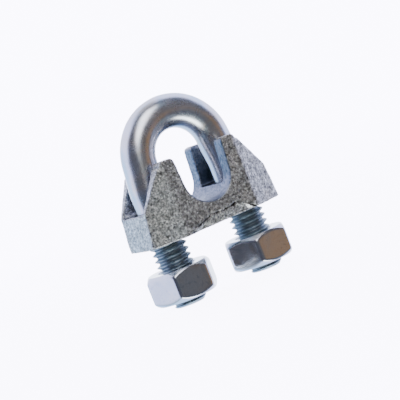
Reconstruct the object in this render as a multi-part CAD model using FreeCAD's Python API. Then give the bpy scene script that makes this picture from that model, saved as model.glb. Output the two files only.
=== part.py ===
"""Wire rope clip for 8 mm rope: cast saddle, M6 round-bar U-bolt, two hexagon nuts.

Millimetres. X runs across the two legs, Y along the rope, Z up from the ends
of the legs towards the bow. The origin is midway between the leg ends, at
their lowest plane.
"""
import FreeCAD
import Part
import math
import os

V = FreeCAD.Vector

# ---------------------------------------------------------------- dimensions
ROPE_D = 8.0            # nominal wire rope diameter

# U-bolt
HEIGHT = 32.4           # leg ends to the top of the bow
BAR_D = 5.6             # round bar, rolled-thread blank
BOW_R = 6.95            # centreline radius of the bow
LEG_X = 7.45            # half the distance between the leg axes
LEAN = 7.0              # degrees that each leg leans in towards the bow
KNEE_R = 12.0           # centreline radius where the lean starts
THREAD_D = 5.9          # crest diameter of the M6 x 1 thread
THREAD_ROOT_D = 4.7
PITCH = 1.0
THREAD_TOP = 14.0       # thread runs from the leg end up to here
END_CHAMFER = 0.6

# hexagon nuts
NUT_AF = 10.0           # across flats
NUT_H = 5.0
NUT_Z = 1.1             # underside of both nuts above the leg ends
NUT_MINOR_D = 5.1
NUT_ROOT_D = 6.2
NUT_TURN_LEFT = -3.6    # direction of a corner, degrees from +X
NUT_TURN_RIGHT = 2.8
FLANK_GAP = 0.08        # axial play of each thread flank

# saddle
SAD_Z0 = 10.4           # underside
SAD_Z1 = 22.7           # ear tops
SAD_Y = 6.8             # half depth at the middle
SAD_A = 6.6             # half length of the flat front and back faces
SAD_XB = 12.1           # half length at the underside
SAD_XF = 11.35          # half length at the floor of the end slots
SAD_YE = 4.3            # half width of the end faces
SAD_FLOOR = 15.9        # floor of the end slots
EAR_X = 6.9             # outer end of an ear's top
GROOVE_R = 4.15         # rope groove
GROOVE_Z = 14.0         # lowest line of the groove
GROOVE_TOP = 4.5        # half width of the groove at the ear tops
SLOT_Y = 4.2            # half width of the slot that a leg stands in
HOLE_D = 6.7            # leg holes
VERT_R = 1.9            # soft cast edges at the two ends
EAR_R = 0.8

os.makedirs("parts", exist_ok=True)


def poly_face(pts):
    return Part.Face(Part.makePolygon([V(*p) for p in pts] + [V(*pts[0])]))


def helix_cutter(z0, turns, prof, r_path):
    """Right-hand helical ridge: prof is a list of (radius, dz) about the path."""
    path = Part.makeHelix(PITCH, PITCH * turns, r_path)
    path.translate(V(0, 0, z0))
    pts = [V(r, 0, z0 + dz) for r, dz in prof]
    sect = Part.makePolygon(pts + [pts[0]])
    sweep = Part.BRepOffsetAPI.MakePipeShell(Part.Wire(path.Edges))
    sweep.setBiNormalMode(V(0, 0, 1))
    sweep.add(sect, False, False)
    sweep.build()
    sweep.makeSolid()
    return sweep.shape()


# ------------------------------------------------------------------- U-bolt
bar_r = BAR_D / 2.0
crest_r = THREAD_D / 2.0
root_r = THREAD_ROOT_D / 2.0
lean = math.radians(LEAN)
bow_z = HEIGHT - bar_r - BOW_R
# the bow's arc meets the leaning run at its own tangent
arc_x = BOW_R * math.cos(lean)
arc_z = bow_z + BOW_R * math.sin(lean)
corner_z = arc_z - (LEG_X - arc_x) / math.tan(lean)
tan_len = KNEE_R * math.tan(lean / 2.0)
knee_lo = V(LEG_X, 0, corner_z - tan_len)
knee_hi = V(LEG_X - tan_len * math.sin(lean), 0, corner_z + tan_len * math.cos(lean))
knee_c = V(LEG_X - KNEE_R, 0, knee_lo.z)
knee_mid = knee_c + V(KNEE_R * math.cos(lean / 2.0), 0, KNEE_R * math.sin(lean / 2.0))


def mir(p):
    return V(-p.x, p.y, p.z)


start = V(LEG_X, 0, THREAD_TOP)
arc_end = V(arc_x, 0, arc_z)
edges = [
    Part.LineSegment(start, knee_lo).toShape(),
    Part.Arc(knee_lo, knee_mid, knee_hi).toShape(),
    Part.LineSegment(knee_hi, arc_end).toShape(),
    Part.Arc(arc_end, V(0, 0, bow_z + BOW_R), mir(arc_end)).toShape(),
    Part.LineSegment(mir(arc_end), mir(knee_hi)).toShape(),
    Part.Arc(mir(knee_hi), mir(knee_mid), mir(knee_lo)).toShape(),
    Part.LineSegment(mir(knee_lo), mir(start)).toShape(),
]
path = Part.Wire(edges)
sect = Part.Wire([Part.Circle(start, V(0, 0, 1), bar_r).toShape()])
bow = path.makePipeShell([sect], True, False)
print("bow volume", bow.Volume, "expected", math.pi * bar_r ** 2 * path.Length)

leg = Part.makeCylinder(crest_r, THREAD_TOP - 0.3, V(0, 0, 0))
leg = leg.fuse(Part.makeCone(crest_r, bar_r, 0.3, V(0, 0, THREAD_TOP - 0.3)))
half_crest = PITCH / 16.0
t30 = math.tan(math.radians(30))
g_crest = PITCH / 2 - half_crest                  # half groove width at the crest
g_root = g_crest - (crest_r - root_r) * t30
g_out = g_crest + 0.07 * t30
groove = helix_cutter(-1.0, 14.2, [(root_r, -g_root), (crest_r + 0.07, -g_out),
                                   (crest_r + 0.07, g_out), (root_r, g_root)],
                      (root_r + crest_r) / 2.0)
leg = leg.cut(groove)
# chamfered leg end
cone = Part.makeCone(crest_r - END_CHAMFER, crest_r + 4.4, 5.0, V(0, 0, 0))
keep = cone.fuse(Part.makeCylinder(crest_r + 4.4, 12.0, V(0, 0, 5.0)))
leg = leg.common(keep)
leg_l = leg.copy()
leg_l.translate(V(-LEG_X, 0, 0))
leg_r = leg.copy()
leg_r.translate(V(LEG_X, 0, 0))
u_bolt = bow.fuse([leg_l, leg_r]).removeSplitter()

# --------------------------------------------------------------------- nuts
def hex_nut(x, turn):
    rc = NUT_AF / math.sqrt(3.0)
    pts = [(rc * math.cos(math.radians(turn + 60 * k)),
            rc * math.sin(math.radians(turn + 60 * k)), NUT_Z) for k in range(6)]
    body = poly_face(pts).extrude(V(0, 0, NUT_H))
    # 30 degree chamfers that round the corners on both faces
    r0 = NUT_AF / 2.0 * 0.955
    h = (rc + 0.6 - r0) * t30
    mid = NUT_H - 2 * h
    turned = Part.makeCone(r0, rc + 0.6, h, V(0, 0, NUT_Z))
    turned = turned.fuse(Part.makeCylinder(rc + 0.6, mid, V(0, 0, NUT_Z + h)))
    turned = turned.fuse(Part.makeCone(rc + 0.6, r0, h, V(0, 0, NUT_Z + h + mid)))
    body = body.common(turned)
    minor = NUT_MINOR_D / 2.0
    major = NUT_ROOT_D / 2.0
    def half(r):                                  # half width of the nut's groove
        return half_crest + (crest_r - r) * t30 + FLANK_GAP
    inner = minor - 0.08
    ridge = helix_cutter(-0.5, 8.0, [(inner, -half(inner)), (major, -half(major)),
                                     (major, half(major)), (inner, half(inner))],
                         (minor + major) / 2.0)
    tap = Part.makeCylinder(minor, 9.0, V(0, 0, -0.8)).fuse(ridge)
    body = body.cut(tap)
    sink = major + 0.1 - minor
    body = body.cut(Part.makeCone(major + 0.1, minor, sink, V(0, 0, NUT_Z)))
    body = body.cut(Part.makeCone(minor, major + 0.1, sink, V(0, 0, NUT_Z + NUT_H - sink)))
    body.translate(V(x, 0, 0))
    return body


hex_nut_left = hex_nut(-LEG_X, NUT_TURN_LEFT)
hex_nut_right = hex_nut(LEG_X, NUT_TURN_RIGHT)

# ------------------------------------------------------------------- saddle
# plan outline, drawn in towards both ends
plan = [(-SAD_XB - 0.4, -SAD_YE), (-SAD_A, -SAD_Y), (SAD_A, -SAD_Y), (SAD_XB + 0.4, -SAD_YE),
        (SAD_XB + 0.4, SAD_YE), (SAD_A, SAD_Y), (-SAD_A, SAD_Y), (-SAD_XB - 0.4, SAD_YE)]
body = poly_face([(x, y, SAD_Z0) for x, y in plan]).extrude(V(0, 0, SAD_Z1 - SAD_Z0))
upright = [e for e in body.Edges
           if abs(e.Vertexes[0].X - e.Vertexes[1].X) < 1e-6
           and abs(e.Vertexes[0].Y - e.Vertexes[1].Y) < 1e-6
           and abs(e.Vertexes[0].X) > SAD_A + 1]
soft_long = [e for e in body.Edges
             if abs(e.Vertexes[0].X - e.Vertexes[1].X) < 1e-6
             and abs(e.Vertexes[0].Y - e.Vertexes[1].Y) < 1e-6
             and abs(e.Vertexes[0].X) < SAD_A + 1]
body = body.makeFillet(VERT_R, upright)

# side outline: sloping ends, ears and the rope groove between them
gc = GROOVE_Z + GROOVE_R                          # groove centre height
side = [(-SAD_XB, SAD_Z0), (SAD_XB, SAD_Z0), (SAD_XF, SAD_FLOOR + 0.3), (EAR_X, SAD_Z1),
        (-EAR_X, SAD_Z1), (-SAD_XF, SAD_FLOOR + 0.3)]
outline = poly_face([(x, -SAD_Y - 1, z) for x, z in side]).extrude(V(0, 2 * SAD_Y + 2, 0))
body = body.common(outline)

rope = Part.makeCylinder(GROOVE_R, 2 * SAD_Y + 2, V(0, -SAD_Y - 1, gc), V(0, 1, 0))
flank = poly_face([(-GROOVE_R, -SAD_Y - 1, gc), (GROOVE_R, -SAD_Y - 1, gc),
                   (GROOVE_TOP, -SAD_Y - 1, SAD_Z1 + 0.5), (-GROOVE_TOP, -SAD_Y - 1, SAD_Z1 + 0.5)])
body = body.cut(rope.fuse(flank.extrude(V(0, 2 * SAD_Y + 2, 0))))

# rounded ear tops, one cutter per ear shoulder
def shoulder(x, z, r, sx):
    """Corner block minus a cylinder, to round the shoulder at (x, z)."""
    w = r + 0.6
    x0 = x - r if sx > 0 else x + r - w
    blk = Part.makeBox(w, 2 * SAD_Y + 2, w, V(x0, -SAD_Y - 1, z - r))
    cyl = Part.makeCylinder(r, 2 * SAD_Y + 2, V(x - sx * r, -SAD_Y - 1, z - r), V(0, 1, 0))
    return blk.cut(cyl)


for s in (1, -1):
    # outer shoulder of the ear, eased by its own flank slope
    body = body.cut(shoulder(s * (EAR_X + 0.28), SAD_Z1, 0.9, s))
    body = body.cut(shoulder(s * (GROOVE_TOP - 0.05), SAD_Z1, 0.7, -s))

# slots that the legs stand in, open at both ends, and the leg holes
for s in (1, -1):
    x0 = 3.0 if s > 0 else -3.0 - 12.0
    slot = Part.makeBox(12.0, 2 * SLOT_Y, 10.0, V(x0, -SLOT_Y, SAD_FLOOR))
    slot_edges = [e for e in slot.Edges
                  if abs(e.Vertexes[0].Z - SAD_FLOOR) < 1e-6 and abs(e.Vertexes[1].Z - SAD_FLOOR) < 1e-6
                  and abs(e.Vertexes[0].Y - e.Vertexes[1].Y) < 1e-6]
    slot = slot.makeFillet(0.7, slot_edges)
    body = body.cut(slot)
    body = body.cut(Part.makeCylinder(HOLE_D / 2.0, 12.0, V(s * LEG_X, 0, SAD_Z0 - 1)))

# relief low on the front and back faces, between the legs
for s in (-1, 1):
    y0 = s * (SAD_Y + 0.5)
    y1 = s * SAD_Y
    y2 = s * (SAD_Y - 0.4)
    zb, zt = SAD_Z0 - 0.5, SAD_Z0 + 1.9
    low = [V(-5.9, y1, SAD_Z0), V(6.2, y1, SAD_Z0), V(3.6, y1, zt), V(-1.8, y1, zt - 0.1)]
    if s > 0:
        low = [V(-p.x, p.y, p.z) for p in low]
    inner = [V(p.x * 0.86, y2, SAD_Z0) for p in low[:2]]
    # closed wedge with its edge along the underside
    a, b, c, d = low
    e, f = inner
    drop = V(0, 0, -0.5)
    push = V(0, s * 0.5, 0)
    pts_face = [
        [a, b, c, d],
    ]
    # faces of the polyhedron (a,b,c,d front; e,f under)
    tri = lambda p, q, r: Part.Face(Part.makePolygon([p, q, r, p]))
    faces = [tri(a, b, c), tri(a, c, d), tri(a, e, f), tri(a, f, b),
             tri(b, f, c), tri(a, d, e), tri(d, c, f), tri(d, f, e)]
    wedge = Part.Solid(Part.Shell(faces))
    if wedge.Volume < 0:
        wedge.reverse()
    body = body.cut(wedge)

saddle = body.removeSplitter()

# ------------------------------------------------------------------- export
nodes = {"u_bolt": u_bolt, "saddle": saddle,
         "hex_nut_left": hex_nut_left, "hex_nut_right": hex_nut_right}
for name, shape in nodes.items():
    if shape.ShapeType == "Compound" and len(shape.Solids) == 1:
        shape = shape.Solids[0]
    bb = shape.BoundBox
    print(name, "solids", len(shape.Solids), "valid", shape.isValid(), "vol %.2f" % shape.Volume,
          "faces", len(shape.Faces),
          "x %.2f..%.2f y %.2f..%.2f z %.2f..%.2f" % (bb.XMin, bb.XMax, bb.YMin, bb.YMax, bb.ZMin, bb.ZMax))
    shape.exportStep("parts/%s.step" % name)
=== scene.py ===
import bpy
import math
import numpy as np
from mathutils import Matrix, Vector


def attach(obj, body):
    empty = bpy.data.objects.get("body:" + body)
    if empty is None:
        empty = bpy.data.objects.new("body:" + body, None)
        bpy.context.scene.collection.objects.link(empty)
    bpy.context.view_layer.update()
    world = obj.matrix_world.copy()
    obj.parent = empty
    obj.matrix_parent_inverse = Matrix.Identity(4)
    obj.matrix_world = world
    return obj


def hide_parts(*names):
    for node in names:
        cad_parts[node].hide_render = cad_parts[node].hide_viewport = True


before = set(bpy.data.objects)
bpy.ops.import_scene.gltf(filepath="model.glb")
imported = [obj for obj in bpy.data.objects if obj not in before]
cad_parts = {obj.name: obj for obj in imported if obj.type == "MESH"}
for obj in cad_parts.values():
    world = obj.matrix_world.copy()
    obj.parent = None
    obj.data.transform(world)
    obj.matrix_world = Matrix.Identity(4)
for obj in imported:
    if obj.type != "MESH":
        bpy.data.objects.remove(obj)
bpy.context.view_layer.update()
MM = 0.001


# ------------------------------------------------------------------ helpers
def mesh_object(name, verts_mm, faces, smooth=True):
    me = bpy.data.meshes.new(name)
    me.from_pydata((np.asarray(verts_mm, float) * MM).tolist(), [], [f[::-1] for f in faces])
    me.update()
    if smooth:
        me.polygons.foreach_set("use_smooth", np.ones(len(me.polygons), bool))
    ob = bpy.data.objects.new(name, me)
    bpy.context.scene.collection.objects.link(ob)
    return ob


def grid_faces(rows, cols, close_cols=True, close_rows=False):
    """Quads over a rows x cols grid of vertices, wrapped round the columns."""
    i = np.arange(rows if close_rows else rows - 1)
    j = np.arange(cols if close_cols else cols - 1)
    ii, jj = np.meshgrid(i, j, indexing="ij")
    a = ii * cols + jj
    b = ii * cols + (jj + 1) % cols
    c = ((ii + 1) % rows) * cols + (jj + 1) % cols
    d = ((ii + 1) % rows) * cols + jj
    return np.stack([a, b, c, d], -1).reshape(-1, 4).tolist()


# smooth value noise on a lattice, the same each run
_PERM = np.random.default_rng(5).permutation(4096)
_VALS = np.random.default_rng(6).uniform(-1, 1, 4096)


def _lattice(ix, iy, iz):
    h = _PERM[(ix & 4095)]
    h = _PERM[(h + iy) & 4095]
    h = _PERM[(h + iz) & 4095]
    return _VALS[h]


def vnoise(p):
    """Value noise of points (n, 3), in -1..1."""
    f = np.floor(p).astype(int)
    t = p - f
    t = t * t * t * (t * (t * 6 - 15) + 10)
    out = 0
    for dx in (0, 1):
        wx = t[:, 0] if dx else 1 - t[:, 0]
        for dy in (0, 1):
            wy = t[:, 1] if dy else 1 - t[:, 1]
            for dz in (0, 1):
                wz = t[:, 2] if dz else 1 - t[:, 2]
                out = out + wx * wy * wz * _lattice(f[:, 0] + dx, f[:, 1] + dy, f[:, 2] + dz)
    return out


def fbm(p, octaves=3, gain=0.55):
    out, amp, tot = 0, 1.0, 0.0
    for k in range(octaves):
        out = out + amp * vnoise(p * (2.03 ** k) + 17.3 * k)
        tot += amp
        amp *= gain
    return out / tot


def cells(p, seed=0):
    """Distance to the nearest and second nearest of jittered lattice points."""
    f = np.floor(p).astype(int)
    best = np.full(len(p), 9.0)
    second = np.full(len(p), 9.0)
    for dx in (-1, 0, 1):
        for dy in (-1, 0, 1):
            for dz in (-1, 0, 1):
                c = f + [dx, dy, dz]
                j = np.stack([_lattice(c[:, 0] + seed, c[:, 1], c[:, 2]),
                              _lattice(c[:, 0], c[:, 1] + 31 + seed, c[:, 2]),
                              _lattice(c[:, 0], c[:, 1], c[:, 2] + 57 + seed)], -1)
                d = np.linalg.norm(c + 0.5 + 0.45 * j - p, axis=1)
                second = np.minimum(second, np.maximum(best, d))
                best = np.minimum(best, d)
    return best, second


def smoothstep(a, b, x):
    t = np.clip((x - a) / (b - a), 0, 1)
    return t * t * (3 - 2 * t)


# ------------------------------------------------- dimensions, as in the CAD
HEIGHT, BAR_R, BOW_R, LEG_X, LEAN, KNEE_R = 32.4, 2.8, 6.95, 7.45, math.radians(7), 12.0
CREST_R, ROOT_R, PITCH, THREAD_TOP = 2.95, 2.35, 1.0, 14.0
NUT_AF, NUT_H, NUT_Z, NUT_MINOR_R, NUT_ROOT_R = 10.0, 5.0, 1.1, 2.55, 3.1
SAD_Y, SAD_Z0, SAD_FLOOR, GROOVE_R, GROOVE_Z, SLOT_Y, HOLE_R = 6.8, 10.4, 15.9, 4.15, 14.0, 4.2, 3.35

# ------------------------------------------------------------------- U-bolt
_d = np.linspace(0, 0.5, 401)
_prof = np.clip(ROOT_R + (_d - 0.091) * math.sqrt(3), ROOT_R, CREST_R)
_full = np.concatenate([_prof, _prof[::-1][1:-1]])            # one period
_k = np.exp(-0.5 * (np.arange(-60, 61) / 22.0) ** 2)
_k /= _k.sum()
_full = np.convolve(np.concatenate([_full[-60:], _full, _full[:60]]), _k, "valid")
THREAD = _full                                                 # rounded roots and crests


def thread_r(u):
    f = (u - np.floor(u)) * len(THREAD)
    i = np.floor(f).astype(int) % len(THREAD)
    t = f - np.floor(f)
    return THREAD[i] * (1 - t) + THREAD[(i + 1) % len(THREAD)] * t


def ubolt_path():
    """Half of the centreline, from the right leg's end up to the bow's top: x, z, tangent."""
    bow_z = HEIGHT - BAR_R - BOW_R
    ax, az = BOW_R * math.cos(LEAN), bow_z + BOW_R * math.sin(LEAN)
    corner = az - (LEG_X - ax) / math.tan(LEAN)
    t = KNEE_R * math.tan(LEAN / 2)
    k0, k1z = corner - t, corner + t * math.cos(LEAN)
    k1x = LEG_X - t * math.sin(LEAN)
    pts = []
    for z in np.arange(0, 14.6, 1 / 18.0):
        pts.append((LEG_X, z, 0.0))
    for z in np.linspace(14.75, k0, 10):
        pts.append((LEG_X, z, 0.0))
    for a in np.linspace(0, LEAN, 9)[1:]:
        pts.append((LEG_X - KNEE_R + KNEE_R * math.cos(a), k0 + KNEE_R * math.sin(a), a))
    for s in np.linspace(0, 1, 11)[1:]:
        pts.append((k1x + (ax - k1x) * s, k1z + (az - k1z) * s, LEAN))
    for a in np.linspace(LEAN, math.pi / 2, 60)[1:]:
        pts.append((BOW_R * math.cos(a), bow_z + BOW_R * math.sin(a), a))
    return np.array(pts)


def make_ubolt():
    half = ubolt_path()
    left = half[::-1][1:].copy()
    n_th = 144
    th = np.linspace(0, 2 * math.pi, n_th, endpoint=False)
    rows = []
    for side, seq in ((1, half), (-1, left)):
        for x, z, a in seq:
            # in-plane outward normal leans by a from +X; binormal is +Y
            nx, nz = side * math.cos(a), math.sin(a)
            cx = side * x
            c, s = np.cos(th), np.sin(th)
            r = np.full(n_th, BAR_R)
            if z < THREAD_TOP + 0.3 and a == 0.0:
                phi = np.arctan2(s, nx * c)
                rt = thread_r(z - phi / (2 * math.pi))
                w = smoothstep(THREAD_TOP - 0.9, THREAD_TOP + 0.2, z)
                r = rt * (1 - w) + BAR_R * w
                r = np.minimum(r, 2.38 + z * 0.95)
            rows.append(np.stack([cx + r * c * nx, r * s, z + r * c * nz], -1))
    n = len(rows)
    verts = np.concatenate(rows)
    faces = [f[::-1] for f in grid_faces(n, n_th)]
    # end caps: a worn edge, then a slightly dished end
    for end, sx in ((0, 1), (n - 1, -1)):
        prev = np.arange(end * n_th, (end + 1) * n_th)
        ring0 = verts[prev]
        centre = np.array([sx * LEG_X, 0, 0])
        rad = ring0 - centre
        rad[:, 2] = 0
        for k, (f, dz) in enumerate(((0.965, -0.0), (0.90, 0.0), (0.7, 0.0), (0.45, 0.015), (0.2, 0.03))):
            new = centre + rad * f + [0, 0, dz]
            base = len(verts)
            verts = np.concatenate([verts, new])
            idx = np.arange(base, base + n_th)
            for j in range(n_th):
                q = [int(prev[j]), int(prev[(j + 1) % n_th]), int(idx[(j + 1) % n_th]), int(idx[j])]
                faces.append(q if end == 0 else q[::-1])
            prev = idx
        base = len(verts)
        verts = np.concatenate([verts, (centre + [0, 0, 0.035])[None]])
        for j in range(n_th):
            t = [int(prev[j]), int(prev[(j + 1) % n_th]), base]
            faces.append(t if end == 0 else t[::-1])
    # faint forming marks on the plain bar
    p = verts.copy()
    plain = smoothstep(THREAD_TOP, THREAD_TOP + 1.5, p[:, 2])
    bow_z = HEIGHT - BAR_R - BOW_R
    v = np.stack([p[:, 0], np.zeros(len(p)), np.maximum(p[:, 2] - bow_z, 0)], -1)
    axis = np.where(p[:, 2:3] > bow_z, v / (np.linalg.norm(v, axis=1, keepdims=True) + 1e-9) * BOW_R,
                    np.stack([np.sign(p[:, 0]) * LEG_X, np.zeros(len(p)), p[:, 2] - bow_z], -1))
    radial = p - np.stack([axis[:, 0], np.zeros(len(p)), axis[:, 2] + bow_z], -1)
    radial /= np.linalg.norm(radial, axis=1, keepdims=True) + 1e-9
    amp = 0.016 * fbm(p * 0.5, 2) + 0.0002 * fbm(p * 3.1 + 40, 2)
    verts = p + radial * (amp * plain)[:, None]
    ob = mesh_object("u_bolt_bar", verts, faces)
    r = np.hypot(np.abs(p[:, 0]) - LEG_X, p[:, 1])
    cut = 1 - smoothstep(THREAD_TOP - 0.3, THREAD_TOP + 0.3, p[:, 2])
    for key, val in (("thread", cut), ("root", cut * (1 - smoothstep(ROOT_R + 0.1, CREST_R - 0.06, r)) * (p[:, 2] > 0.4))):
        at = ob.data.attributes.new(key, "FLOAT", "POINT")
        at.data.foreach_set("value", val.astype(np.float32))
    return ob


# --------------------------------------------------------------------- nuts
def make_nut(name, x, turn_deg, seed):
    offs = np.concatenate([np.linspace(-30, -9, 8)[:-1], np.linspace(-9, 9, 15), np.linspace(9, 30, 8)[1:-1]])
    th = np.concatenate([np.radians(turn_deg + 60 * k + offs) for k in range(6)])
    off = np.tile(offs, 6)
    n = len(th)
    cone_r, slope = 4.66, math.tan(math.radians(39))

    def outer(z):
        """Radius of the worn hexagon at height z: crisp corners, cut softly by both chamfers."""
        acc = sum(np.exp(-15.0 * ((NUT_AF / 2) / np.cos(np.radians(a)) - 5.0))
                  for a in (30 - np.abs(off), 30 + np.abs(off)))
        hexagon = 5.0 - np.log(acc) / 15.0
        acc = np.exp(-7.5 * (hexagon - 5.0))
        for h in (z, NUT_H - z):
            acc += np.exp(-7.5 * (cone_r + 0.15 + h / slope - 5.0))
        return 5.0 - np.log(acc) / 7.5 + 0.012

    rows = []
    for side, seq in ((1, half), (-1, left)):
        for x, z, a in seq:
            # in-plane outward normal leans by a from +X; binormal is +Y
            nx, nz = side * math.cos(a), math.sin(a)
            cx = side * x
            c, s = np.cos(th), np.sin(th)
            r = np.full(n_th, BAR_R)
            if z < THREAD_TOP + 0.3 and a == 0.0:
                phi = np.arctan2(s, nx * c)
                rt = thread_r(z - phi / (2 * math.pi))
                w = smoothstep(THREAD_TOP - 0.9, THREAD_TOP + 0.2, z)
                r = rt * (1 - w) + BAR_R * w
                r = np.minimum(r, 2.38 + z * 0.95)
            rows.append(np.stack([cx + r * c * nx, r * s, z + r * c * nz], -1))
    n = len(rows)
    verts = np.concatenate(rows)
    faces = [f[::-1] for f in grid_faces(n, n_th)]
    # end caps: a worn edge, then a slightly dished end
    for end, sx in ((0, 1), (n - 1, -1)):
        prev = np.arange(end * n_th, (end + 1) * n_th)
        ring0 = verts[prev]
        centre = np.array([sx * LEG_X, 0, 0])
        rad = ring0 - centre
        rad[:, 2] = 0
        for k, (f, dz) in enumerate(((0.965, -0.0), (0.90, 0.0), (0.7, 0.0), (0.45, 0.015), (0.2, 0.03))):
            new = centre + rad * f + [0, 0, dz]
            base = len(verts)
            verts = np.concatenate([verts, new])
            idx = np.arange(base, base + n_th)
            for j in range(n_th):
                q = [int(prev[j]), int(prev[(j + 1) % n_th]), int(idx[(j + 1) % n_th]), int(idx[j])]
                faces.append(q if end == 0 else q[::-1])
            prev = idx
        base = len(verts)
        verts = np.concatenate([verts, (centre + [0, 0, 0.035])[None]])
        for j in range(n_th):
            t = [int(prev[j]), int(prev[(j + 1) % n_th]), base]
            faces.append(t if end == 0 else t[::-1])
    # faint forming marks on the plain bar
    p = verts.copy()
    plain = smoothstep(THREAD_TOP, THREAD_TOP + 1.5, p[:, 2])
    bow_z = HEIGHT - BAR_R - BOW_R
    v = np.stack([p[:, 0], np.zeros(len(p)), np.maximum(p[:, 2] - bow_z, 0)], -1)
    axis = np.where(p[:, 2:3] > bow_z, v / (np.linalg.norm(v, axis=1, keepdims=True) + 1e-9) * BOW_R,
                    np.stack([np.sign(p[:, 0]) * LEG_X, np.zeros(len(p)), p[:, 2] - bow_z], -1))
    radial = p - np.stack([axis[:, 0], np.zeros(len(p)), axis[:, 2] + bow_z], -1)
    radial /= np.linalg.norm(radial, axis=1, keepdims=True) + 1e-9
    amp = 0.016 * fbm(p * 0.5, 2) + 0.0002 * fbm(p * 3.1 + 40, 2)
    verts = p + radial * (amp * plain)[:, None]
    ob = mesh_object("u_bolt_bar", verts, faces)
    r = np.hypot(np.abs(p[:, 0]) - LEG_X, p[:, 1])
    cut = 1 - smoothstep(THREAD_TOP - 0.3, THREAD_TOP + 0.3, p[:, 2])
    for key, val in (("thread", cut), ("root", cut * (1 - smoothstep(ROOT_R + 0.1, CREST_R - 0.06, r)) * (p[:, 2] > 0.4))):
        at = ob.data.attributes.new(key, "FLOAT", "POINT")
        at.data.foreach_set("value", val.astype(np.float32))
    return ob


# --------------------------------------------------------------------- nuts
def make_nut(name, x, turn_deg, seed):
    offs = np.concatenate([np.linspace(-30, -9, 8)[:-1], np.linspace(-9, 9, 15), np.linspace(9, 30, 8)[1:-1]])
    th = np.concatenate([np.radians(turn_deg + 60 * k + offs) for k in range(6)])
    off = np.tile(offs, 6)
    n = len(th)
    cone_r, slope = 4.66, math.tan(math.radians(39))

    def outer(z):
        """Radius of the worn hexagon at height z: flats and both chamfers, blended softly."""
        acc = np.zeros(n)
        for a in (30 - np.abs(off), 30 + np.abs(off)):
            r = (NUT_AF / 2) / np.cos(np.radians(a))
            acc += np.exp(-7.5 * (r - 5.0))
        for h in (z, NUT_H - z):
            acc += np.exp(-7.5 * (cone_r + 0.15 + h / slope - 5.0))
        return 5.0 - np.log(acc) / 7.5 + 0.016

    rows = []

    def row(r, z):
        r = np.broadcast_to(r, (n,)).astype(float)
        rows.append(np.stack([r, np.broadcast_to(z, (n,)).astype(float)], -1))

    for z in np.linspace(0.03, NUT_H - 0.03, 77):             # bore, threaded like the bar
        rows.append(("thread", z))
    sink = NUT_ROOT_R + 0.1 - NUT_MINOR_R
    lip = [(NUT_MINOR_R + sink + 0.06, 0.0), (3.6, 0.0), (3.95, 0.0), (4.25, 0.0)]
    for r, z in lip:
        row(r, NUT_H - z)
    hs = np.concatenate([[0.0, 0.012, 0.03, 0.06], np.linspace(0.10, 1.0, 14), np.linspace(1.1, 2.5, 6)])
    rim = outer(np.zeros(1))
    for f, z in ((0.55, 0.0), (0.85, 0.004)):
        row(4.25 + (rim - 4.25) * f, NUT_H - z)
    for h in hs:
        row(outer(h), NUT_H - h)
    for h in hs[::-1][1:]:
        row(outer(h), h)
    for f, z in ((0.85, 0.004), (0.55, 0.0)):
        row(4.25 + (rim - 4.25) * f, z)
    for r, z in lip[::-1]:
        row(r, z)
    out = []
    for rr in rows:
        if isinstance(rr, tuple):
            z = rr[1]
            u = z + NUT_Z - th / (2 * math.pi)
            d = np.abs((u - np.floor(u)) - 0.5)              # 0 at the ridge of the bolt
            groove = np.clip(NUT_ROOT_R - (d - 0.04) * math.sqrt(3), NUT_MINOR_R, NUT_ROOT_R)
            groove = np.maximum(groove, NUT_MINOR_R + sink - 1.1 * (min(z, NUT_H - z) - 0.03))
            out.append(np.stack([x + groove * np.cos(th), groove * np.sin(th), np.full(n, NUT_Z + z)], -1))
        else:
            out.append(np.stack([x + rr[:, 0] * np.cos(th), rr[:, 0] * np.sin(th), NUT_Z + rr[:, 1]], -1))
    verts = np.concatenate(out)
    faces = grid_faces(len(out), n, close_rows=True)
    # forging marks: the flats and faces aren't perfectly true
    c = np.array([x, 0, NUT_Z + NUT_H / 2])
    rad = verts - c
    r_xy = np.hypot(rad[:, 0], rad[:, 1])
    skin = smoothstep(4.2, 4.8, r_xy)
    d = rad / (np.linalg.norm(rad, axis=1, keepdims=True) + 1e-9)
    d[:, 2] *= 0.3
    verts = verts + d * (skin * (0.010 * fbm(verts * 0.45 + seed, 2) + 0.0003 * fbm(verts * 2.3 + seed, 2)))[:, None]
    ob = mesh_object(name, verts, faces)
    inside = ob.data.attributes.new("thread", "FLOAT", "POINT")
    inside.data.foreach_set("value", (1 - smoothstep(3.0, 3.3, r_xy)).astype(np.float32))
    return ob


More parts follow.
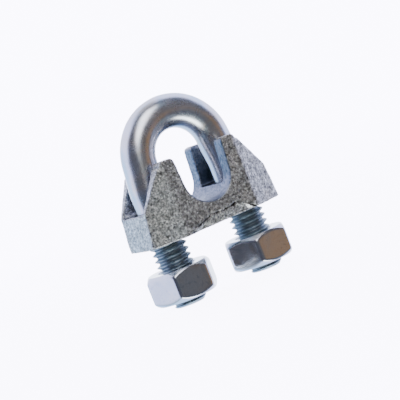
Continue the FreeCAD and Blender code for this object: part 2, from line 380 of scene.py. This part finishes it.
# ------------------------------------------------------------------- saddle
def make_saddle():
    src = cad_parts["saddle"]
    me = src.data.copy()
    me.transform(Matrix.Scale(1000.0, 4))
    me.materials.clear()
    ob = bpy.data.objects.new("saddle_casting", me)
    bpy.context.scene.collection.objects.link(ob)
    # weld the CAD faces into one skin first
    import bmesh
    bm = bmesh.new()
    bm.from_mesh(me)
    bmesh.ops.remove_doubles(bm, verts=bm.verts, dist=1e-4)
    bm.to_mesh(me)
    bm.free()
    rm = ob.modifiers.new("skin", "REMESH")
    rm.mode = "VOXEL"
    rm.voxel_size = 0.115
    rm.adaptivity = 0.0
    sm = ob.modifiers.new("soften", "SMOOTH")
    sm.factor = 0.5
    sm.iterations = 9
    deps = bpy.context.evaluated_depsgraph_get()
    new = bpy.data.meshes.new_from_object(ob.evaluated_get(deps))
    ob.modifiers.clear()
    ob.data = new
    bpy.data.meshes.remove(me)
    nv = len(new.vertices)
    co = np.empty(nv * 3, np.float32)
    no = np.empty(nv * 3, np.float32)
    new.vertices.foreach_get("co", co)
    new.vertex_normals.foreach_get("vector", no)
    p = co.reshape(-1, 3).astype(float)
    nrm = no.reshape(-1, 3).astype(float)
    x, y, z = p.T
    # where the skin is smooth: the rope groove, the slots and the leg holes
    dist_groove = np.where(z < GROOVE_Z + GROOVE_R, np.hypot(x, z - GROOVE_Z - GROOVE_R) - GROOVE_R,
                           np.abs(x) - GROOVE_R - 0.07 * (z - GROOVE_Z - GROOVE_R))
    groove = 1 - smoothstep(0.05, 0.30, np.abs(dist_groove))
    inner = 1 - smoothstep(0.05, 0.35, np.abs(np.abs(y) - SLOT_Y))
    floor_ = (1 - smoothstep(0.1, 0.5, np.abs(z - SAD_FLOOR))) * (np.abs(y) < SLOT_Y + 0.2)
    inner = np.maximum(inner * smoothstep(SAD_FLOOR - 0.2, SAD_FLOOR + 0.2, z), floor_) * (np.abs(x) > 3.0)
    inner = inner * (1 - groove)
    hole = 1 - smoothstep(0.1, 0.4, np.abs(np.hypot(np.abs(x) - LEG_X, y) - HOLE_R))
    # painted shade: the slots are painted darker the deeper and the nearer to the leg they are, and the leg holes are
    # painted dark below the floor
    slot_depth_shade = 1 - smoothstep(16.5, 22.5, z)
    near = 1 - smoothstep(0.4, 3.0, np.maximum(np.abs(x) - 7.0, 0))
    # the slot walls take the dark smooth colour more strongly near the leg: partly the smoother coat, partly painted
    # shade
    smooth = np.maximum(np.maximum(groove, 0.75 * inner * (0.25 + 0.75 * near)), 0.7 * hole)
    slot_painted_shade = np.maximum(inner * (0.45 + 0.55 * slot_depth_shade) * (0.06 + 0.94 * near), hole * (z < SAD_FLOOR))
    # ragged crease over the low relief, one on each broad face: cut into the surface and painted dark as shade
    line = [(-6.1, 10.3), (-3.9, 11.5), (-1.8, 12.15), (0.9, 12.0), (3.6, 12.35), (5.0, 11.7), (6.3, 10.3)]
    xs = np.where(y < 0, x, -x)
    wob = np.stack([vnoise(p * 1.1 + 50), vnoise(p * 1.1 + 70)], -1) * 0.34
    wob += np.stack([vnoise(p * 3.1 + 90), vnoise(p * 3.1 + 95)], -1) * 0.13
    q = np.stack([xs, z], -1) + wob
    cd = np.full(len(p), 9.0)
    for a0, b0 in zip(line[:-1], line[1:]):
        a0, b0 = np.array(a0), np.array(b0)
        t = np.clip(((q - a0) @ (b0 - a0)) / ((b0 - a0) @ (b0 - a0)), 0, 1)
        cd = np.minimum(cd, np.linalg.norm(q - a0 - t[:, None] * (b0 - a0), axis=1))
    ragged = 0.15 + 0.10 * fbm(p * 1.9 + 61, 2)
    crease_and_shade = np.exp(-(cd / np.maximum(ragged, 0.05)) ** 2) * (np.abs(y) > 6.0) * smoothstep(-0.5, 0.25, fbm(p * 1.3 + 33, 2))
    rough = 1 - 0.93 * smooth
    a, b = cells(p / 0.42, 0)
    grain = np.clip(b - a, 0, 0.7) / 0.7 - 0.45                 # raised grains, sunken joints
    c, d = cells(p / 1.05 + 9.1, 3)
    pits = -smoothstep(0.30, 0.06, c) * (vnoise(p * 0.9 + 3) > 0.0)
    disp = (0.036 * grain + 0.026 * fbm(p / 0.22, 2) + 0.036 * fbm(p / 0.9 + 5, 2)) * rough
    disp += 0.060 * fbm(p / 3.2 + 11, 2) * (1 - 0.7 * smooth)
    disp += 0.055 * pits * rough
    disp += 0.010 * fbm(p / 0.35 + 21, 2) * smooth
    disp -= 0.15 * crease_and_shade
    p = p + nrm * disp[:, None]
    new.vertices.foreach_set("co", (p * MM).astype(np.float32).ravel())
    for key, val in (("smooth_skin", smooth), ("grain", grain), ("pit", -pits), ("slot_painted_shade", slot_painted_shade), ("crease_and_shade", crease_and_shade)):
        at = new.attributes.new(key, "FLOAT", "POINT")
        at.data.foreach_set("value", val.astype(np.float32))
    new.update()
    new.polygons.foreach_set("use_smooth", np.ones(len(new.polygons), bool))
    return ob


bolt = make_ubolt()
nut_l = make_nut("hex_nut_left_body", -LEG_X, -3.6, 3.0)
nut_r = make_nut("hex_nut_right_body", LEG_X, 2.8, 8.0)
saddle = make_saddle()


# ---------------------------------------------------------------- materials
class Mat:
    def __init__(self, name):
        self.m = bpy.data.materials.new(name)
        self.m.use_nodes = True
        self.t = self.m.node_tree
        self.t.nodes.clear()
        self.out = self.t.nodes.new("ShaderNodeOutputMaterial")
        self.bsdf = self.t.nodes.new("ShaderNodeBsdfPrincipled")
        self.t.links.new(self.bsdf.outputs[0], self.out.inputs[0])
        self.coord = self.t.nodes.new("ShaderNodeTexCoord").outputs["Object"]

    def node(self, kind, **props):
        n = self.t.nodes.new(kind)
        for k, v in props.items():
            setattr(n, k, v)
        return n

    def put(self, sock, value):
        if isinstance(value, bpy.types.NodeSocket):
            self.t.links.new(value, sock)
        elif value is not None:
            sock.default_value = value

    def scaled(self, s):
        n = self.node("ShaderNodeMapping")
        self.put(n.inputs[0], self.coord)
        n.inputs["Scale"].default_value = s if hasattr(s, "__len__") else (s, s, s)
        return n.outputs[0]

    def noise(self, scale, detail=3, rough=0.55, vec=None, dist=0.0):
        n = self.node("ShaderNodeTexNoise")
        self.put(n.inputs["Vector"], vec if vec is not None else self.coord)
        n.inputs["Scale"].default_value = scale
        n.inputs["Detail"].default_value = detail
        n.inputs["Roughness"].default_value = rough
        n.inputs["Distortion"].default_value = dist
        return n.outputs["Fac"]

    def voronoi(self, scale, feature="F1", vec=None, out="Distance"):
        n = self.node("ShaderNodeTexVoronoi", feature=feature)
        self.put(n.inputs["Vector"], vec if vec is not None else self.coord)
        n.inputs["Scale"].default_value = scale
        return n.outputs[out]

    def ramp(self, fac, stops):
        n = self.node("ShaderNodeValToRGB")
        self.put(n.inputs[0], fac)
        e = n.color_ramp.elements
        while len(e) < len(stops):
            e.new(0.5)
        for el, (pos, col) in zip(e, stops):
            el.position = pos
            el.color = (*col, 1) if hasattr(col, "__len__") else (col, col, col, 1)
        return n.outputs[0]

    def mix(self, fac, a, b, kind="MIX"):
        n = self.node("ShaderNodeMix", data_type="RGBA", blend_type=kind)
        self.put(n.inputs[0], fac)
        self.put(n.inputs[6], a)
        self.put(n.inputs[7], b)
        return n.outputs[2]

    def math(self, op, a, b=0.5, clamp=False):
        n = self.node("ShaderNodeMath", operation=op, use_clamp=clamp)
        self.put(n.inputs[0], a)
        self.put(n.inputs[1], b)
        return n.outputs[0]

    def remap(self, v, a, b, c, d):
        n = self.node("ShaderNodeMapRange")
        self.put(n.inputs[0], v)
        for i, val in enumerate((a, b, c, d)):
            n.inputs[i + 1].default_value = val
        return n.outputs[0]

    def attr(self, name):
        return self.node("ShaderNodeAttribute", attribute_name=name).outputs["Fac"]

    def bump(self, height, strength, distance, normal=None):
        n = self.node("ShaderNodeBump")
        self.put(n.inputs["Height"], height)
        n.inputs["Strength"].default_value = strength
        n.inputs["Distance"].default_value = distance
        if normal is not None:
            self.put(n.inputs["Normal"], normal)
        return n.outputs[0]


def zinc_bar():
    m = Mat("zinc_plated_bar")
    tint = m.noise(240, 2, 0.5, dist=0.4)
    base = m.ramp(tint, [(0.28, (0.52, 0.64, 0.78)), (0.42, (0.66, 0.69, 0.79)), (0.53, (0.72, 0.71, 0.77)),
                         (0.62, (0.72, 0.67, 0.66)), (0.72, (0.64, 0.68, 0.72))])
    fine = m.noise(5200, 2, 0.6)
    base = m.mix(m.remap(fine, 0.35, 0.75, 0.0, 0.12), base, (0.50, 0.53, 0.58, 1))
    th, root = m.attr("thread"), m.attr("root")
    cut = m.ramp(m.noise(1100, 3, 0.6), [(0.3, (0.27, 0.35, 0.40)), (0.7, (0.40, 0.46, 0.51))])
    cut = m.mix(root, cut, (0.27, 0.32, 0.36, 1))
    base = m.mix(th, base, cut)
    m.put(m.bsdf.inputs["Base Color"], base)
    m.bsdf.inputs["Metallic"].default_value = 1.0
    r = m.remap(m.noise(400, 2, 0.5), 0.3, 0.7, 0.24, 0.29)
    m.put(m.bsdf.inputs["Roughness"], m.mix(th, r, m.remap(m.noise(1700, 2), 0.3, 0.7, 0.36, 0.50)))
    h = m.math("ADD", m.math("MULTIPLY", m.noise(3200, 3, 0.6), 0.35), m.math("MULTIPLY", m.noise(700, 3, 0.5), 1.0))
    m.put(m.bsdf.inputs["Normal"], m.bump(h, 0.015, 0.00004))
    return m.m


def zinc_nut():
    m = Mat("zinc_plated_nut")
    tint = m.noise(300, 3, 0.6, dist=0.5)
    base = m.ramp(tint, [(0.30, (0.58, 0.63, 0.75)), (0.48, (0.66, 0.68, 0.77)), (0.60, (0.68, 0.67, 0.72)),
                         (0.74, (0.66, 0.61, 0.58))])
    fine = m.noise(4200, 3, 0.6)
    base = m.mix(m.remap(fine, 0.4, 0.75, 0.0, 0.2), base, (0.46, 0.48, 0.53, 1))
    spots = m.remap(m.noise(1250, 2, 0.5), 0.60, 0.68, 0.0, 0.35)
    base = m.mix(spots, base, (0.42, 0.46, 0.56, 1))
    base = m.mix(m.attr("thread"), base, (0.10, 0.12, 0.14, 1))
    m.put(m.bsdf.inputs["Base Color"], base)
    m.bsdf.inputs["Metallic"].default_value = 1.0
    m.put(m.bsdf.inputs["Roughness"], m.remap(m.noise(500, 3, 0.55), 0.3, 0.7, 0.13, 0.22))
    lines = m.noise(1500, 3, 0.5, m.scaled((1, 1, 5)))
    h = m.math("ADD", m.math("MULTIPLY", lines, 0.5), m.noise(900, 3, 0.5))
    m.put(m.bsdf.inputs["Normal"], m.bump(h, 0.03, 0.00004))
    return m.m


def zinc_casting():
    m = Mat("zinc_coated_casting")
    sm = m.attr("smooth_skin")
    n1 = m.noise(1500, 4, 0.75)
    n2 = m.noise(3300, 3, 0.7)
    speck = m.math("ADD", m.math("MULTIPLY", n1, 0.5), m.math("MULTIPLY", n2, 0.5))
    rough_col = m.ramp(speck, [(0.39, (0.075, 0.075, 0.075)), (0.45, (0.335, 0.335, 0.33)), (0.525, (0.585, 0.59, 0.595)),
                               (0.59, (0.97, 0.97, 0.97))])
    warm = m.noise(180, 2, 0.5)
    rough_col = m.mix(m.remap(warm, 0.45, 0.7, 0.0, 0.5), rough_col, m.mix(1.0, rough_col, (1.0, 0.93, 0.84, 1), "MULTIPLY"))
    rough_col = m.mix(m.remap(m.attr("grain"), -0.45, -0.12, 0.6, 0.0), rough_col, (0.07, 0.07, 0.07, 1))
    rough_col = m.mix(m.math("MULTIPLY", m.attr("pit"), 0.8), rough_col, (0.05, 0.05, 0.05, 1))
    # painted shade: the crease is painted as a nearly black line
    rough_col = m.mix(m.math("MULTIPLY", m.attr("crease_and_shade"), 1.25, clamp=True), rough_col, (0.018, 0.016, 0.015, 1))
    # dark bluish smooth skin: partly the smoother coat, partly painted shade on the slot walls by the leg
    smooth_col = m.ramp(m.noise(2300, 4, 0.75), [(0.36, (0.060, 0.076, 0.108)), (0.49, (0.115, 0.140, 0.190)), (0.62, (0.27, 0.30, 0.37))])
    smooth_col = m.mix(m.remap(m.noise(620, 3, 0.6), 0.50, 0.66, 0.0, 0.5), smooth_col, (0.30, 0.31, 0.37, 1))
    col = m.mix(sm, rough_col, smooth_col)
    # painted shade: the deep slots by the leg and the leg holes are painted nearly black
    col = m.mix(m.math("MULTIPLY", m.attr("slot_painted_shade"), 0.93), col, (0.02, 0.03, 0.042, 1))
    m.put(m.bsdf.inputs["Base Color"], col)
    m.bsdf.inputs["Metallic"].default_value = 0.9
    rr = m.remap(m.noise(2200, 3, 0.7), 0.3, 0.7, 0.28, 0.50)
    rs = m.remap(m.noise(1300, 3, 0.6), 0.3, 0.7, 0.32, 0.46)
    m.put(m.bsdf.inputs["Roughness"], m.mix(sm, rr, rs))
    h = m.math("ADD", m.math("MULTIPLY", m.noise(2400, 4, 0.7), 1.0), m.math("MULTIPLY", m.voronoi(2100), 0.7))
    k = m.math("SUBTRACT", 1.0, m.math("MULTIPLY", sm, 0.8))
    h = m.math("MULTIPLY", h, k)
    m.put(m.bsdf.inputs["Normal"], m.bump(h, 0.9, 0.00008))
    return m.m


bar_mat, nut_mat, cast_mat = zinc_bar(), zinc_nut(), zinc_casting()
for ob, mat in ((bolt, bar_mat), (nut_l, nut_mat), (nut_r, nut_mat), (saddle, cast_mat)):
    ob.data.materials.clear()
    ob.data.materials.append(mat)
for node, mat in (("u_bolt", bar_mat), ("hex_nut_left", nut_mat), ("hex_nut_right", nut_mat), ("saddle", cast_mat)):
    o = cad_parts[node]
    o.data.materials.clear()
    o.data.materials.append(mat)

for ob, body, node, slot in ((bolt, "u_bolt", "u_bolt", "zinc_bar"), (saddle, "saddle", "saddle", "zinc_casting"),
                             (nut_l, "nut_left", "hex_nut_left", "zinc_nut"),
                             (nut_r, "nut_right", "hex_nut_right", "zinc_nut")):
    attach(ob, body)
    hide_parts(node)

# ------------------------------------------------------------ floor and light
me = bpy.data.meshes.new("floor")
n = 96
me.from_pydata([(0.6 * math.cos(2 * math.pi * k / n), 0.6 * math.sin(2 * math.pi * k / n), -0.00002) for k in range(n)],
               [], [list(range(n))])
floor = bpy.data.objects.new("floor", me)
bpy.context.scene.collection.objects.link(floor)
fm = Mat("pale_floor")
fm.put(fm.bsdf.inputs["Base Color"], fm.ramp(fm.noise(40, 2), [(0.3, (0.95, 0.95, 0.95)), (0.7, (0.97, 0.97, 0.97))]))
fm.bsdf.inputs["Roughness"].default_value = 0.9
fm.bsdf.inputs["Specular IOR Level"].default_value = 0.0
fm.bsdf.inputs["Emission Color"].default_value = (0.93, 0.89, 1.12, 1)
fm.bsdf.inputs["Emission Strength"].default_value = 9.2
clear = fm.node("ShaderNodeBsdfTransparent").outputs[0]
blend = fm.node("ShaderNodeMixShader")
dist = fm.node("ShaderNodeVectorMath", operation="LENGTH")
fm.put(dist.inputs[0], fm.coord)
fade = fm.remap(dist.outputs["Value"], 0.05, 0.30, 1.0, 0.0)
seen = fm.node("ShaderNodeLightPath").outputs["Is Camera Ray"]
top = fm.math("SUBTRACT", 1.0, fm.node("ShaderNodeNewGeometry").outputs["Backfacing"])
fm.put(blend.inputs[0], fm.math("MULTIPLY", fm.math("MULTIPLY", fade, seen), top))
fm.put(blend.inputs[1], clear)
fm.put(blend.inputs[2], fm.bsdf.outputs[0])
fm.put(fm.out.inputs[0], blend.outputs[0])
floor.data.materials.append(fm.m)

AZ, EL, ROLL = math.radians(-26.3), math.radians(3.9), math.radians(-21.3)
DIST, FOCAL_PX, TX, TY, TZ = 220.0, 1378.0, 190.6, 186.3, 17.0
back = Vector((math.sin(AZ) * math.cos(EL), -math.cos(AZ) * math.cos(EL), math.sin(EL)))
fwd = -back
right = fwd.cross(Vector((0, 0, 1))).normalized()
up = right.cross(fwd)
r_ = math.cos(ROLL) * right + math.sin(ROLL) * up
u_ = -math.sin(ROLL) * right + math.cos(ROLL) * up
pos = Vector((0, 0, TZ)) - DIST * fwd - (TX - 200) / FOCAL_PX * DIST * r_ + (TY - 200) / FOCAL_PX * DIST * u_
cam_data = bpy.data.cameras.new("camera")
cam_data.sensor_width = 36.0
cam_data.lens = FOCAL_PX / 400.0 * 36.0
cam_data.clip_start = 0.005
cam_data.clip_end = 20.0
cam = bpy.data.objects.new("camera", cam_data)
cam.matrix_world = Matrix((
    (r_.x, u_.x, back.x, pos.x * MM),
    (r_.y, u_.y, back.y, pos.y * MM),
    (r_.z, u_.z, back.z, pos.z * MM),
    (0, 0, 0, 1)))
bpy.context.scene.collection.objects.link(cam)
bpy.context.scene.camera = cam


w = bpy.data.worlds.new("studio")
bpy.context.scene.world = w
w.use_nodes = True
W = w.node_tree
W.nodes.clear()


def wn(kind, **props):
    n = W.nodes.new(kind)
    for k, v in props.items():
        setattr(n, k, v)
    return n


def wput(sock, v):
    if isinstance(v, bpy.types.NodeSocket):
        W.links.new(v, sock)
    else:
        sock.default_value = v


view = wn("ShaderNodeTexCoord").outputs["Generated"]


def lobe(direction, inner, outer):
    """1 inside a cone of half angle inner degrees round a direction, fading to 0 at outer."""
    d = Vector(direction).normalized()
    n = wn("ShaderNodeVectorMath", operation="NORMALIZE")
    wput(n.inputs[0], view)
    k = wn("ShaderNodeVectorMath", operation="DOT_PRODUCT")
    wput(k.inputs[0], n.outputs[0])
    k.inputs[1].default_value = d
    m = wn("ShaderNodeMapRange", interpolation_type="SMOOTHSTEP")
    wput(m.inputs[0], k.outputs["Value"])
    m.inputs[1].default_value = math.cos(math.radians(outer))
    m.inputs[2].default_value = math.cos(math.radians(inner))
    return m.outputs[0]


def wmix(fac, a, b):
    n = wn("ShaderNodeMix", data_type="RGBA")
    wput(n.inputs[0], fac)
    wput(n.inputs[6], a)
    wput(n.inputs[7], b)
    return n.outputs[2]


def room(a, b, c):
    """A direction in the room: a to the right, b up and c towards the clip's front, as first framed."""
    return a * r_ + b * u_ + c * back


def across(x, y):
    """The room direction x degrees to the right and y degrees up from the clip's front."""
    t = math.hypot(x, y)
    k = math.sin(math.radians(t)) / t
    return room(k * x, k * y, math.cos(math.radians(t)))


# a bright table and walls all round, a darker side in front of the clip, and soft lamps there
WALL, DARK = (2.0, 2.12, 2.95, 1), (0.096, 0.101, 0.128, 1)
env = wmix(lobe(across(-20, -115), 20, 45), WALL, (1.25, 1.85, 2.7, 1))
env = wmix(lobe(across(-108, -54), 14, 34), env, (1.25, 1.85, 2.7, 1))
env = wmix(lobe(room(0, 0, -1), 12, 38), env, (4.4, 4.7, 5.5, 1))
env = wmix(lobe(Vector((0, 0, 1)), 8, 30), env, (0.7, 0.74, 0.86, 1))
env = wmix(lobe(across(13, 10), 73, 84), env, DARK)
env = wmix(lobe(across(26, 64), 26, 38), env, DARK)
env = wmix(lobe(across(-40, -17), 20, 31), env, DARK)
env = wmix(lobe(across(84, -32), 14, 30), env, (0.20, 0.26, 0.34, 1))
env = wmix(lobe(across(-45, -64), 8, 28), env, (0.75, 1.0, 1.3, 1))
env = wmix(lobe(across(38, 10), 6, 20), env, (0.150, 0.152, 0.158, 1))
env = wmix(lobe(across(50, 40), 10, 30), env, (0.155, 0.140, 0.138, 1))
env = wmix(lobe(across(67, 13), 4, 18), env, (0.37, 0.250, 0.155, 1))
env = wmix(lobe(across(24, -42), 6, 30), env, (0.36, 0.41, 0.42, 1))
env = wmix(lobe(across(9, 16), 2, 15), env, (0.85, 0.93, 0.90, 1))
for x, y in ((0, 35), (-5, 54)):
    env = wmix(lobe(across(x, y), 5, 21), env, (4.3, 4.3, 4.4, 1))
for x, y in ((12, -50), (30, -57), (50, -60)):
    env = wmix(lobe(across(x, y), 4, 15), env, (8.0, 8.5, 8.3, 1))
lp = wn("ShaderNodeLightPath").outputs["Is Camera Ray"]
env = wmix(lp, env, (10.6, 10.3, 13.4, 1))
bg = wn("ShaderNodeBackground")
wput(bg.inputs[0], env)
wo = wn("ShaderNodeOutputWorld")
W.links.new(bg.outputs[0], wo.inputs[0])
